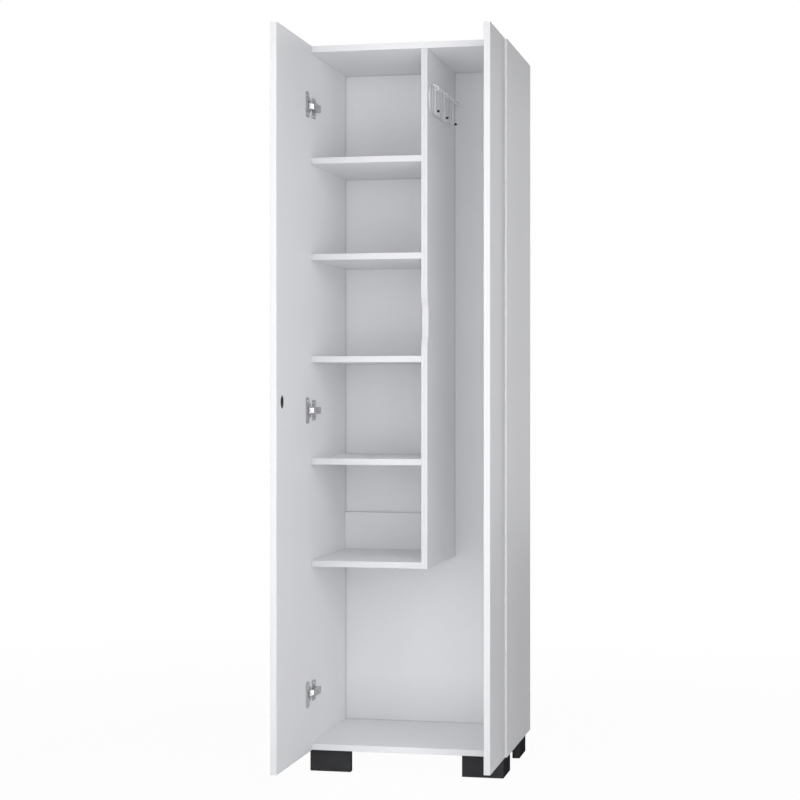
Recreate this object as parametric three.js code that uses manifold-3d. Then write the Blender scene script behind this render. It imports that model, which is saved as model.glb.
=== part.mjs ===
import * as THREE from 'three';
import Module from 'manifold-3d';
import { mergeVertices } from 'three/addons/utils/BufferGeometryUtils.js';

// Broom cupboard of coated board: five shelves on the left, one tall bay on the right, two doors.
// Sizes are in millimetres. X runs to the right, Y from the front to the back, Z up.
// The doors stand open at rest, swung a quarter turn on concealed four-bar hinges.

// Carcass
const cupboard_width = 500;
const board = 15;
const side_depth = 366;
const lower_bay = 431;
const shelf_bay = 233.5;
const fifth_bay = 219;
const top_bay = 256;
const right_bay = 178.7;
const edge_ease = 0.8;
const seat_gap = 0.3;
const cut_overrun = 2;

// Back panel and rear rail
const back_thickness = 3;
const back_inset = 12;
const groove_depth = 6;
const rail_height = 96;

// Notch in the divider's front edge
const notch_centre = 1040;
const notch_height = 110;
const notch_slope = 21;
const notch_depth = 12;
const notch_ease = 8;

// Feet
const foot_height = 54;
const foot_length = 102;
const foot_return = 99;
const foot_wall = 19;
const foot_front_inset = 14.5;
const foot_side_inset = 10.4;
const foot_rear_inset = 10;
const foot_ease = 3;

// Doors
const door_gap = 2.8;
const side_gap = 1;
const centre_gap = 3;
const left_door_width = 294.5;
const low_hinge_rise = 141;
const top_hinge_drop = 148;

// Finger pull in the left door
const pull_hole = 32;
const pull_from_edge = 49;
const pull_height = 848;
const pull_rim = 2;
const pull_rim_thickness = 1.2;
const pull_wall = 1.5;
const pull_recess = 2.5;

// Hinge pivots: reach is taken from the side's inner face, lead from the side's front edge
const open_angle = Math.PI / 2;
const pole_from_edge = 8.1;
const pole_from_face = 10.5;
const outer_pivot_reach = 11.56;
const outer_pivot_lead = 10.29;
const outer_pole_radius = 6.07;
const inner_pivot_reach = 12.99;
const inner_pivot_lead = 2.51;
const inner_pole_radius = 9.26;
const pin_radius = 1.2;
const pin_play = 0.25;

// Hinge cup in the door
const cup_radius = 17.5;
const cup_from_edge = 22;
const cup_wall = 1;
const cup_depth = 11;
const cup_floor = 0.8;
const cup_rim = 1;
const flange_thickness = 1.2;
const ear_offset = 9.5;
const ear_width = 26;
const ear_height = 63;
const ear_ease = 9;
const window_half = 6.9;
const window_depth = 5;
const stub_gap = 6.5;

// Hinge links
const link_eye = 2;
const outer_half_width = 1.7;
const outer_half_height = 6.2;
const outer_cheek = 1.2;
const web_offset = 1.6;
const web_thickness = 1;
const web_start = -2.4;
const web_end = 12.4;
const web_bend_start = 6.2;
const web_bend_end = 9.2;
const web_jog = 1.5;
const inner_half_height = 4.4;
const inner_half_thickness = 1.5;

// Hinge arm and its mounting plate
const arm_height = 16.6;
const arm_sheet = 1.2;
const arm_half_height = 8.3;
const arm_lead = 12.5;
const arm_tail = 44;
const arm_nose = 9.3;
const arm_nose_end = 3;
const arm_shoulder = 12;
const arm_foot = 3.2;
const arm_ease = 2;
const arm_slot_start = -2;
const arm_slot_end = 11.5;
const arm_slot_half = 2.9;
const plate_start = 13;
const plate_width = 30;
const plate_height = 49;
const plate_thickness = 2.5;
const plate_ease = 5;
const plate_waist = 3.5;
const plate_neck = 13.5;
const plate_shoulder = 16.5;

// Hook rack on the divider
const rack_drop = 76.5;
const rack_height = 75.5;
const rack_wire = 4;
const rack_front = 12;
const rack_shoulder = 34;
const first_hook = 43;
const hook_pitch = 109;
const hook_count = 3;
const upright_step = 11;
const hook_wire = 3.2;
const hook_stand_off = 10.5;
const hook_ring = 4.4;
const ring_step = 38;
const hook_throat = 10.5;
const hook_drop = 70;
const tip_radius = 3.6;
const tip_rise = 2.5;

// Facets
const cup_sides = 28;
const pull_sides = 24;
const pin_sides = 12;
const wire_sides = 6;
const ring_steps = 10;
const bow_steps = 10;
const bend_steps = 8;
const ease_steps = 3;

// Places that follow from the sizes
const bays = [lower_bay, shelf_bay, shelf_bay, shelf_bay, fifth_bay, top_bay];
const carcass_height = bays.reduce((height, bay) => height + bay + board, board);
const back_front = side_depth - back_inset - back_thickness;
const inner_depth = back_front - seat_gap;
const divider_left = cupboard_width - board - right_bay - board;
const divider_right = divider_left + board;
const shelf_floors = bays.slice(0, -1).map((_, i) => board * (i + 1) + sum(bays.slice(0, i + 1)));
const right_door_width = cupboard_width - 2 * side_gap - centre_gap - left_door_width;
const hinge_heights = [
  low_hinge_rise,
  shelf_floors[1] + board + shelf_bay / 2,
  carcass_height - top_hinge_drop,
];
const pole = new THREE.Vector2(side_gap + pole_from_edge - board, -door_gap - pole_from_face);
const outer_pivot = new THREE.Vector2(outer_pivot_reach, -outer_pivot_lead);
const inner_pivot = new THREE.Vector2(inner_pivot_reach, -inner_pivot_lead);
const cup_centre = side_gap + cup_from_edge - board;

const melamine = new THREE.MeshStandardMaterial({ color: 0xe9ebec, roughness: 0.55, metalness: 0 });
const hardboard = new THREE.MeshStandardMaterial({ color: 0xdfe1e2, roughness: 0.65, metalness: 0 });
const black_plastic = new THREE.MeshStandardMaterial({ color: 0x1b1c1e, roughness: 0.5, metalness: 0 });
const nickel = new THREE.MeshStandardMaterial({ color: 0xb9bcbf, roughness: 0.3, metalness: 1 });
const coated_wire = new THREE.MeshStandardMaterial({ color: 0xe4e6e8, roughness: 0.4, metalness: 0 });

const wasm = await Module();
wasm.setup();

function sum(values) {
  return values.reduce((total, value) => total + value, 0);
}

// Solids and booleans
function to_solid(geometry) {
  const bare = geometry.clone();
  bare.deleteAttribute('normal');
  bare.deleteAttribute('uv');
  const merged = mergeVertices(bare);
  const vertProperties = Float32Array.from(merged.attributes.position.array);
  const triVerts = Uint32Array.from(merged.index.array);
  return new wasm.Manifold(new wasm.Mesh({ numProp: 3, vertProperties, triVerts }));
}

function to_geometry(solid) {
  const mesh = solid.getMesh();
  const geometry = new THREE.BufferGeometry();
  geometry.setAttribute('position', new THREE.BufferAttribute(mesh.vertProperties, 3));
  geometry.setIndex(new THREE.BufferAttribute(mesh.triVerts, 1));
  geometry.computeVertexNormals();
  return geometry;
}

function join(...pieces) {
  const solids = pieces.map(to_solid);
  return to_geometry(solids.reduce((whole, piece) => whole.add(piece)));
}

function cut(base, ...tools) {
  const solids = tools.map(to_solid);
  return to_geometry(solids.reduce((whole, tool) => whole.subtract(tool), to_solid(base)));
}

// Basic forms
function box(x0, x1, y0, y1, z0, z1) {
  const geometry = new THREE.BoxGeometry(x1 - x0, y1 - y0, z1 - z0);
  return geometry.translate((x0 + x1) / 2, (y0 + y1) / 2, (z0 + z1) / 2);
}

function rod_y(radius, y0, y1, x, z, sides) {
  const geometry = new THREE.CylinderGeometry(radius, radius, y1 - y0, sides);
  return geometry.translate(x, (y0 + y1) / 2, z);
}

function rod_z(radius, z0, z1, x, y, sides) {
  const geometry = new THREE.CylinderGeometry(radius, radius, z1 - z0, sides);
  return geometry.rotateX(Math.PI / 2).translate(x, y, (z0 + z1) / 2);
}

function rod_x(radius, x0, x1, y, z, sides) {
  const geometry = new THREE.CylinderGeometry(radius, radius, x1 - x0, sides);
  return geometry.rotateZ(Math.PI / 2).translate((x0 + x1) / 2, y, z);
}

// An outline with its corners rounded: each corner is its place and how far its round reaches
function outline(corners) {
  const shape = new THREE.Shape();
  corners.forEach(([x, y, ease = 0], i) => {
    const corner = new THREE.Vector2(x, y);
    const before = new THREE.Vector2(...corners.at(i - 1).slice(0, 2)).sub(corner).setLength(ease);
    const after = new THREE.Vector2(...corners[(i + 1) % corners.length].slice(0, 2)).sub(corner);
    const away = after.setLength(ease).add(corner);
    before.add(corner);
    if (i === 0) shape.moveTo(before.x, before.y);
    else shape.lineTo(before.x, before.y);
    if (ease > 0) shape.quadraticCurveTo(x, y, away.x, away.y);
  });
  shape.closePath();
  return shape;
}

function extrude(shape, depth) {
  return new THREE.ExtrudeGeometry(shape, { depth, bevelEnabled: false, curveSegments: ease_steps });
}

// Outlines in X and Y, in Y and Z, and in X and Z
function along_z(shape, z0, z1) {
  return extrude(shape, z1 - z0).translate(0, 0, z0);
}

function along_x(shape, x0, x1) {
  const turn = new THREE.Matrix4().makeBasis(
    new THREE.Vector3(0, 1, 0), new THREE.Vector3(0, 0, 1), new THREE.Vector3(1, 0, 0));
  return extrude(shape, x1 - x0).applyMatrix4(turn).translate(x0, 0, 0);
}

function along_y(shape, y0, y1) {
  const turn = new THREE.Matrix4().makeBasis(
    new THREE.Vector3(1, 0, 0), new THREE.Vector3(0, 0, 1), new THREE.Vector3(0, -1, 0));
  return extrude(shape, y1 - y0).applyMatrix4(turn).translate(0, y1, 0);
}

// Carcass boards
function side_panel() {
  const section = outline([
    [0, 0, edge_ease], [board, 0, edge_ease], [board, side_depth], [0, side_depth],
  ]);
  const groove = box(board - groove_depth, board + cut_overrun, back_front - seat_gap,
    back_front + back_thickness + seat_gap, -cut_overrun, carcass_height + cut_overrun);
  return cut(along_z(section, 0, carcass_height), groove);
}

// The floor board, with its groove on top; turned over it is the top board
function end_board() {
  const section = outline([
    [0, 0, edge_ease], [side_depth, 0], [side_depth, board], [0, board, edge_ease],
  ]);
  const groove = box(0, cupboard_width, back_front - seat_gap,
    back_front + back_thickness + seat_gap, board - groove_depth, board + cut_overrun);
  return cut(along_x(section, board + seat_gap, cupboard_width - board - seat_gap), groove);
}

function shelf(floor) {
  const section = outline([
    [0, floor, edge_ease], [inner_depth, floor],
    [inner_depth, floor + board], [0, floor + board, edge_ease],
  ]);
  return along_x(section, board + seat_gap, divider_left - seat_gap);
}

function divider() {
  const foot = shelf_floors[0];
  const head = carcass_height - board - seat_gap;
  const low = notch_centre - notch_height / 2;
  const high = notch_centre + notch_height / 2;
  const section = outline([
    [0, foot], [inner_depth, foot], [inner_depth, head], [0, head],
    [0, high, notch_ease], [notch_depth, high - notch_slope, notch_ease],
    [notch_depth, low + notch_slope, notch_ease], [0, low, notch_ease],
  ]);
  return along_x(section, divider_left, divider_right);
}

function rear_rail() {
  const floor = shelf_floors[0] + board + seat_gap;
  const section = outline([
    [inner_depth - board, floor], [inner_depth, floor],
    [inner_depth, floor + rail_height, edge_ease], [inner_depth - board, floor + rail_height, edge_ease],
  ]);
  return along_x(section, board + seat_gap, divider_left - seat_gap);
}

function back_panel() {
  const lap = groove_depth - seat_gap;
  return box(board - lap, cupboard_width - board + lap, back_front, back_front + back_thickness,
    board - lap, carcass_height - board + lap);
}

// An L-shaped foot under one corner; toward is 1 or -1 for the way its arms run in X and Y
function foot(toward_x, toward_y) {
  const corner_x = toward_x > 0 ? foot_side_inset : cupboard_width - foot_side_inset;
  const corner_y = toward_y > 0 ? foot_front_inset : side_depth - foot_rear_inset;
  const section = outline([
    [0, 0, foot_ease], [foot_length, 0, foot_ease], [foot_length, foot_wall, foot_ease],
    [foot_wall, foot_wall, foot_ease], [foot_wall, foot_return, foot_ease], [0, foot_return, foot_ease],
  ].map(([x, y, ease]) => [corner_x + toward_x * x, corner_y + toward_y * y, ease]));
  return along_z(section, -foot_height, -seat_gap);
}

// Doors, drawn closed, with X from the outer face of the side that carries the hinges
function door(width, heights) {
  const section = outline([
    [side_gap, -door_gap - board, edge_ease], [side_gap + width, -door_gap - board, edge_ease],
    [side_gap + width, -door_gap, edge_ease], [side_gap, -door_gap, edge_ease],
  ]);
  const hole_radius = cup_radius + seat_gap;
  const hole_depth = cup_depth + cup_floor + seat_gap;
  const holes = heights.map((height) => rod_y(hole_radius, -door_gap - hole_depth,
    -door_gap + cut_overrun, side_gap + cup_from_edge, height, cup_sides));
  return cut(along_z(section, 0, carcass_height), ...holes);
}

function pull_place() {
  return side_gap + left_door_width - pull_from_edge;
}

function left_door_panel() {
  const hole = rod_y(pull_hole / 2, -door_gap - board - cut_overrun, -door_gap + cut_overrun,
    pull_place(), pull_height, pull_sides);
  return cut(door(left_door_width, hinge_heights), hole);
}

// A round finger pull, a shallow cup pushed in from the front with its rim on the door's face
function finger_pull() {
  const shell = pull_hole / 2 - seat_gap;
  const rim = pull_hole / 2 + pull_rim;
  const face = -door_gap - board - seat_gap;
  const floor = -door_gap - pull_recess;
  const profile = [
    [0, floor - pull_wall], [shell - pull_wall, floor - pull_wall],
    [shell - pull_wall, face - pull_rim_thickness], [rim - pull_rim_thickness / 2, face - pull_rim_thickness],
    [rim, face - pull_rim_thickness / 2], [rim, face], [shell, face], [shell, floor], [0, floor],
  ].map(([radius, y]) => new THREE.Vector2(radius, y));
  return new THREE.LatheGeometry(profile, pull_sides).translate(pull_place(), 0, pull_height);
}

// Hinge pieces are drawn about the hinge's own height, with X from the side's inner face.
// A cup pin keeps its distance from the pole, half the swing to either side of its arm pin.
function cup_pin(arm_pin, radius, swing) {
  const angle = arm_pin.clone().sub(pole).angle() + open_angle / 2 - swing;
  return new THREE.Vector2(Math.cos(angle), Math.sin(angle)).multiplyScalar(radius).add(pole);
}

function both_ends(make) {
  return [make(1), make(-1)];
}

function pin_stub(place, inner_end, outer_end) {
  return both_ends((end) => rod_z(pin_radius, Math.min(end * inner_end, end * outer_end),
    Math.max(end * inner_end, end * outer_end), place.x, place.y, pin_sides));
}

function hinge_cup() {
  const bore = cup_radius - cup_wall;
  const top = -door_gap + seat_gap + flange_thickness;
  const ear_x = cup_centre + ear_offset;
  const ears = along_y(outline([
    [ear_x - ear_width / 2, -ear_height / 2, ear_ease], [ear_x + ear_width / 2, -ear_height / 2, ear_ease],
    [ear_x + ear_width / 2, ear_height / 2, ear_ease], [ear_x - ear_width / 2, ear_height / 2, ear_ease],
  ]), -door_gap + seat_gap, top);
  const body = rod_y(cup_radius, -door_gap - cup_depth - cup_floor, top, cup_centre, 0, cup_sides);
  const rim = rod_y(cup_radius + cup_rim, -door_gap + seat_gap, top, cup_centre, 0, cup_sides);
  const hollow = rod_y(bore, -door_gap - cup_depth, top + cut_overrun, cup_centre, 0, cup_sides);
  const window_cut = box(cup_centre - cup_radius - cup_rim - cut_overrun, cup_centre - bore / 2,
    -door_gap - window_depth, top + cut_overrun, -window_half, window_half);
  const outer = cup_pin(outer_pivot, outer_pole_radius, 0);
  const inner = cup_pin(inner_pivot, inner_pole_radius, 0);
  const reach = (pin) => Math.sqrt(bore ** 2 - (pin.x - cup_centre) ** 2) + cup_wall / 2;
  const stubs = [
    ...pin_stub(outer, inner_half_height + seat_gap, reach(outer)),
    ...pin_stub(inner, stub_gap, reach(inner)),
  ];
  return join(cut(join(body, rim, ears), hollow, window_cut), ...stubs);
}

// The outer link: two cheeks with eyes at both pins, and a web across them on the cup floor's side.
// The web steps outwards where the inner link's end comes near it.
function outer_link(length) {
  const meet = Math.sqrt(link_eye ** 2 - outer_half_width ** 2);
  const lean = Math.asin(outer_half_width / link_eye);
  const web_line = [[web_start, web_offset], [web_bend_start, web_offset],
    [web_bend_end, web_offset + web_jog], [web_end, web_offset + web_jog]];
  const web_top = web_line.map(([x, y]) => [x, y + web_thickness]);
  const cheek = new THREE.Shape();
  cheek.moveTo(...web_top[0]);
  web_top.slice(1).forEach((point) => cheek.lineTo(...point));
  cheek.lineTo(length - meet, outer_half_width);
  cheek.absarc(length, 0, link_eye, Math.PI - lean, lean - Math.PI, true);
  cheek.lineTo(meet, -outer_half_width);
  cheek.absarc(0, 0, link_eye, -lean, -Math.PI, true);
  cheek.lineTo(web_start, web_offset);
  cheek.closePath();
  const bores = [0, length].map((x) => rod_z(pin_radius + pin_play, -outer_half_height - cut_overrun,
    outer_half_height + cut_overrun, x, 0, pin_sides));
  const cheeks = both_ends((end) => along_z(cheek,
    end > 0 ? outer_half_height - outer_cheek : -outer_half_height,
    end > 0 ? outer_half_height : outer_cheek - outer_half_height));
  const web = along_z(outline([...web_line, ...web_top.toReversed()]),
    -outer_half_height, outer_half_height);
  return cut(join(...cheeks, web), ...bores);
}

// The inner link: one thick bar on its arm pin, with a rounded free end in the cup
function inner_link(length) {
  const body = box(0, length, -inner_half_thickness, inner_half_thickness,
    -inner_half_height, inner_half_height);
  const eye = rod_z(link_eye, -inner_half_height, inner_half_height, 0, 0, pin_sides);
  const end = rod_z(inner_half_thickness, -inner_half_height, inner_half_height, length, 0, pin_sides);
  const bore = rod_z(pin_radius + pin_play, -inner_half_height - cut_overrun,
    inner_half_height + cut_overrun, 0, 0, pin_sides);
  return cut(join(body, eye, end), bore);
}

// A slot through the arm's web, for the screw that sets the door's depth
function arm_slot() {
  const under = arm_height - arm_sheet - seat_gap;
  const over = arm_height + cut_overrun;
  const ends = [arm_slot_start + arm_slot_half, arm_slot_end - arm_slot_half];
  return [
    ...ends.map((y) => rod_x(arm_slot_half, under, over, y, 0, pin_sides)),
    box(under, over, ...ends, -arm_slot_half, arm_slot_half),
  ];
}

// The arm: a folded channel open towards the side, clipped over the mounting plate's block
function hinge_arm() {
  const cheek = outline([
    [arm_height, -arm_lead, arm_ease], [arm_height, arm_tail, arm_ease],
    [arm_height - arm_shoulder / 2, arm_tail, arm_ease], [arm_foot, arm_tail - arm_shoulder / 2],
    [arm_foot, arm_shoulder, arm_ease], [arm_nose, arm_nose_end, arm_ease], [arm_nose, -arm_lead, arm_ease],
  ]);
  const cheeks = both_ends((end) => along_z(cheek,
    end > 0 ? arm_half_height - arm_sheet : -arm_half_height,
    end > 0 ? arm_half_height : arm_sheet - arm_half_height));
  const web = box(arm_height - arm_sheet, arm_height, arm_ease - arm_lead, arm_tail - arm_ease,
    -arm_half_height, arm_half_height);
  const pins = [outer_pivot, inner_pivot].map((pin) => rod_z(pin_radius, -arm_half_height + arm_sheet / 2,
    arm_half_height - arm_sheet / 2, pin.x, pin.y, pin_sides));
  return join(...cheeks, cut(web, ...arm_slot()), ...pins);
}

// The mounting plate: a block under the arm, and wings that widen to their rounded ends
function hinge_plate() {
  const plate_end = plate_start + plate_width;
  const front = [[plate_start, plate_height / 2, plate_ease], [plate_start, plate_shoulder],
    [plate_start + plate_waist, plate_neck]];
  const rear = [[plate_end - plate_waist, plate_neck], [plate_end, plate_shoulder],
    [plate_end, plate_height / 2, plate_ease]];
  const turned_over = ([y, z, ease]) => [y, -z, ease];
  const wings = along_x(outline([
    ...front, ...front.toReversed().map(turned_over), ...rear.toReversed().map(turned_over), ...rear,
  ]), seat_gap, plate_thickness);
  const half = arm_half_height - arm_sheet - seat_gap;
  const block = box(seat_gap, arm_height - arm_sheet - seat_gap, plate_start,
    plate_start + plate_width, -half, half);
  return join(wings, block);
}

// The rack: a flat wire frame on the divider, with wire hooks welded to its top bar.
// Wires are faceted, and lie with a flat against what carries them.
function wire_flat(wire) {
  return (wire / 2) * Math.cos(Math.PI / wire_sides);
}

function rack_places() {
  const bar_z = carcass_height - board - rack_drop - rack_wire / 2;
  const bar_x = divider_right + seat_gap + wire_flat(rack_wire);
  const stem_x = divider_right + hook_stand_off;
  return { bar_x, bar_z, stem_x, bend_z: bar_z - hook_drop, tip_x: stem_x + hook_throat };
}

function round_section(radius) {
  const corners = Array.from({ length: wire_sides }, (_, i) => (2 * Math.PI * (i + 1 / 2)) / wire_sides);
  return new THREE.Shape(corners.map((angle) => new THREE.Vector2(Math.cos(angle), Math.sin(angle))
    .multiplyScalar(radius)));
}

function rack_frame() {
  const { bar_x, bar_z } = rack_places();
  const radius = rack_wire / 2;
  const low = bar_z - rack_height + rack_wire;
  const last_hook = hook_places().at(-1);
  const low_back = last_hook + upright_step + radius;
  const top_back = last_hook + ring_step + radius;
  const bow = new THREE.QuadraticBezierCurve3(
    new THREE.Vector3(bar_x, rack_shoulder, low),
    new THREE.Vector3(bar_x, 2 * rack_front - rack_shoulder, (low + bar_z) / 2),
    new THREE.Vector3(bar_x, rack_shoulder, bar_z));
  const front = new THREE.ExtrudeGeometry(round_section(radius), { extrudePath: bow, steps: bow_steps });
  const bars = [[low, low_back], [bar_z, top_back]].map(([z, back]) => rod_y(radius,
    rack_shoulder - radius, back, bar_x, z, wire_sides));
  const uprights = hook_places().map((y) => rod_z(radius, low, bar_z, bar_x, y + upright_step, wire_sides));
  return join(front, ...bars, ...uprights);
}

// A hook: out from the top bar, round its two rings, down its stem and up again into the throat
function rack_hook(y) {
  const { bar_x, bar_z, stem_x, bend_z, tip_x } = rack_places();
  const radius = hook_wire / 2;
  const seat_x = bar_x + wire_flat(rack_wire) + seat_gap;
  const ring_x = stem_x + hook_ring;
  const bend_radius = hook_throat / 2;
  const half_turn = Array.from({ length: bend_steps + 1 }, (_, i) => Math.PI * (1 + i / bend_steps));
  const bend = new THREE.CatmullRomCurve3(half_turn.map((angle) => new THREE.Vector3(
    stem_x + bend_radius * (1 + Math.cos(angle)), y, bend_z + bend_radius * Math.sin(angle))));
  const places = [y, y + ring_step];
  const rings = places.map((place) => new THREE.TorusGeometry(hook_ring, radius, wire_sides, ring_steps)
    .rotateX(Math.PI / 2).translate(ring_x, place, bar_z - hook_ring));
  const arms = places.map((place) => rod_x(radius, seat_x, ring_x, place, bar_z, wire_sides));
  const bridge = rod_y(radius, y, y + ring_step, ring_x, bar_z, wire_sides);
  const stem = rod_z(radius, bend_z - radius / 2, bar_z - hook_ring, stem_x, y, wire_sides);
  const turn = new THREE.ExtrudeGeometry(round_section(radius), { extrudePath: bend, steps: bend_steps });
  const end = rod_z(radius, bend_z - radius / 2, bend_z + tip_rise, tip_x, y, wire_sides);
  return join(...rings, ...arms, bridge, stem, turn, end);
}

function hook_places() {
  return Array.from({ length: hook_count }, (_, i) => first_hook + i * hook_pitch);
}

function hook_tip(y) {
  const { bend_z, tip_x } = rack_places();
  const centre = bend_z + tip_rise;
  const ball = new THREE.SphereGeometry(tip_radius, ring_steps, bend_steps).rotateX(Math.PI / 2);
  const bore = rod_z(hook_wire / 2 + seat_gap, centre - 2 * tip_radius, centre + seat_gap,
    tip_x, y, wire_sides);
  return cut(ball.translate(tip_x, y, centre), bore);
}

// Assembly
const cupboard = new THREE.Group();

function add(parent, name, geometry, material) {
  const mesh = new THREE.Mesh(geometry, material);
  mesh.name = name;
  parent.add(mesh);
  return mesh;
}

// A frame with X from the outer face of one side: the right one is turned about Y, so Z is turned over
function half_frame(name) {
  const half = new THREE.Group();
  if (name === 'right') {
    half.position.set(cupboard_width, 0, carcass_height);
    half.rotation.y = Math.PI;
  }
  cupboard.add(half);
  return half;
}

function add_carcass() {
  add(half_frame('left'), 'left_side', side_panel(), melamine);
  add(half_frame('right'), 'right_side', side_panel(), melamine);
  add(cupboard, 'bottom_board', end_board(), melamine);
  add(half_frame('right'), 'top_board', end_board(), melamine);
  add(cupboard, 'divider', divider(), melamine);
  shelf_floors.forEach((floor, i) => add(cupboard, `shelf_${i + 1}`, shelf(floor), melamine));
  add(cupboard, 'rear_rail', rear_rail(), melamine);
  add(cupboard, 'back_panel', back_panel(), hardboard);
  add(cupboard, 'front_left_foot', foot(1, 1), black_plastic);
  add(cupboard, 'front_right_foot', foot(-1, 1), black_plastic);
  add(cupboard, 'rear_left_foot', foot(1, -1), black_plastic);
  add(cupboard, 'rear_right_foot', foot(-1, -1), black_plastic);
  add(cupboard, 'rack_frame', rack_frame(), coated_wire);
  hook_places().forEach((y, i) => {
    add(cupboard, `rack_hook_${i + 1}`, rack_hook(y), coated_wire);
    add(cupboard, `hook_tip_${i + 1}`, hook_tip(y), black_plastic);
  });
}

// What is drawn with its door closed is swung open about the pole
function open_frame(half) {
  const swing = new THREE.Group();
  swing.position.set(board + pole.x, pole.y, 0);
  swing.rotation.z = -open_angle;
  const closed = new THREE.Group();
  closed.position.set(-board - pole.x, -pole.y, 0);
  half.add(swing);
  swing.add(closed);
  return closed;
}

function add_link(half, name, make, arm_pin, radius, height) {
  const end = cup_pin(arm_pin, radius, open_angle).sub(arm_pin);
  const link = add(half, name, make(end.length()), nickel);
  link.position.set(board + arm_pin.x, arm_pin.y, height);
  link.rotation.z = end.angle();
}

function add_door_side(name, width) {
  const half = half_frame(name);
  const open = open_frame(half);
  const places = ['low', 'middle', 'top'];
  const local = hinge_heights.map((height) => (name === 'right' ? carcass_height - height : height));
  const panel = name === 'right' ? door(width, local) : left_door_panel();
  add(open, `${name}_door`, panel, melamine);
  places.forEach((place, i) => {
    const label = `${name}_${place}_hinge`;
    const height = local[i];
    add(open, `${label}_cup`, hinge_cup(), nickel).position.set(board, 0, height);
    add(half, `${label}_arm`, hinge_arm(), nickel).position.set(board, 0, height);
    add(half, `${label}_plate`, hinge_plate(), nickel).position.set(board, 0, height);
    add_link(half, `${label}_outer_link`, outer_link, outer_pivot, outer_pole_radius, height);
    add_link(half, `${label}_inner_link`, inner_link, inner_pivot, inner_pole_radius, height);
  });
  return open;
}

add_carcass();
const left_open = add_door_side('left', left_door_width);
add_door_side('right', right_door_width);
add(left_open, 'finger_pull', finger_pull(), black_plastic);

// The origin is on the floor, under the middle of the cupboard with its doors open
cupboard.updateMatrixWorld(true);
const bounds = new THREE.Box3().setFromObject(cupboard, true);
const middle = bounds.getCenter(new THREE.Vector3());
cupboard.position.set(-middle.x, -middle.y, -bounds.min.z);
cupboard.updateMatrixWorld(true);

export default cupboard;
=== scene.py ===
import math

import bmesh
import bpy
from mathutils import Matrix, Vector


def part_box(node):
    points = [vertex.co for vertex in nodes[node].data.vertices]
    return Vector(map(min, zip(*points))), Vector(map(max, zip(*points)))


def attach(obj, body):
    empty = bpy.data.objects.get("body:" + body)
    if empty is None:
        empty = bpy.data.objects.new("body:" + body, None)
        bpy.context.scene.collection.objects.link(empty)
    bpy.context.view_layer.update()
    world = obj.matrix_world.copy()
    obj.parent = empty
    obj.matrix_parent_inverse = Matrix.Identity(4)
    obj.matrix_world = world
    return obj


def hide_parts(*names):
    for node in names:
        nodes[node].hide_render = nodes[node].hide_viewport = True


# A tall white broom cupboard with both doors open. Metres, Z up, the open front towards -Y.

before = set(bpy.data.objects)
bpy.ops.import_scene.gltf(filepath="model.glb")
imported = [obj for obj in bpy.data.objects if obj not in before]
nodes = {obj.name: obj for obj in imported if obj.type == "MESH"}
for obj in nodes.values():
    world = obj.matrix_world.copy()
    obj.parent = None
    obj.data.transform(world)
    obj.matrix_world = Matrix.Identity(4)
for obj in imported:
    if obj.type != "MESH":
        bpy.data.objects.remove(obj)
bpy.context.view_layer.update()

SIDES = ("left", "right")
PLACES = ("low", "middle", "top")

# Camera, solved from the photograph's edges
IMAGE_SIZE = 800
FOCAL_PIXELS = 1803.5
SENSOR_WIDTH = 36.0
CENTRE_PIXEL = 449.7
CAMERA_PLACE = (0.9530, -4.2703, 0.9239)
CAMERA_YAW = math.radians(11.24)
CAMERA_PITCH = math.radians(-0.24)
CAMERA_REACH = 100.0

# Places taken from the frame
side_low, side_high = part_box("left_side")
divider_low, divider_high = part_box("divider")
left_low, left_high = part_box("left_door")
right_low, right_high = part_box("right_door")
INNER_FACE = side_high[0]
FRONT = side_low[1]
REAR = side_high[1]
BACK_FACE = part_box("back_panel")[0][1]
FLOOR_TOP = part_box("bottom_board")[1][2]

# What lies nearer to a face than this counts as on it
ON_FACE = 0.00005

# Axes, and how nearly an edge or a normal has to follow one
X, Y, Z = range(3)
ALIGNED = 0.99
ROUGHLY_ALIGNED = 0.9

BLACK = (0.0, 0.0, 0.0, 1.0)
WHITE = (1.0, 1.0, 1.0, 1.0)


# Node helpers
def new_group(name, inputs, outputs):
    group = bpy.data.node_groups.new(name, "ShaderNodeTree")
    for way, sockets in (("INPUT", inputs), ("OUTPUT", outputs)):
        for label, kind in sockets:
            group.interface.new_socket(name=label, in_out=way, socket_type=kind)
    return group, group.nodes.new("NodeGroupInput"), group.nodes.new("NodeGroupOutput")


# Settings that start with in_ are the values of the node's inputs
def add_node(tree, kind, **settings):
    node = tree.nodes.new(kind)
    for name, value in settings.items():
        if name.startswith("in_"):
            node.inputs[name.removeprefix("in_").replace("_", " ")].default_value = value
        else:
            setattr(node, name, value)
    return node


def math_node(tree, operation, first, second=None, third=None, clamp=False):
    node = add_node(tree, "ShaderNodeMath", operation=operation, use_clamp=clamp)
    for slot, value in enumerate((first, second, third)):
        if value is None:
            continue
        if isinstance(value, (int, float)):
            node.inputs[slot].default_value = value
        else:
            tree.links.new(value, node.inputs[slot])
    return node.outputs[0]


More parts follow.
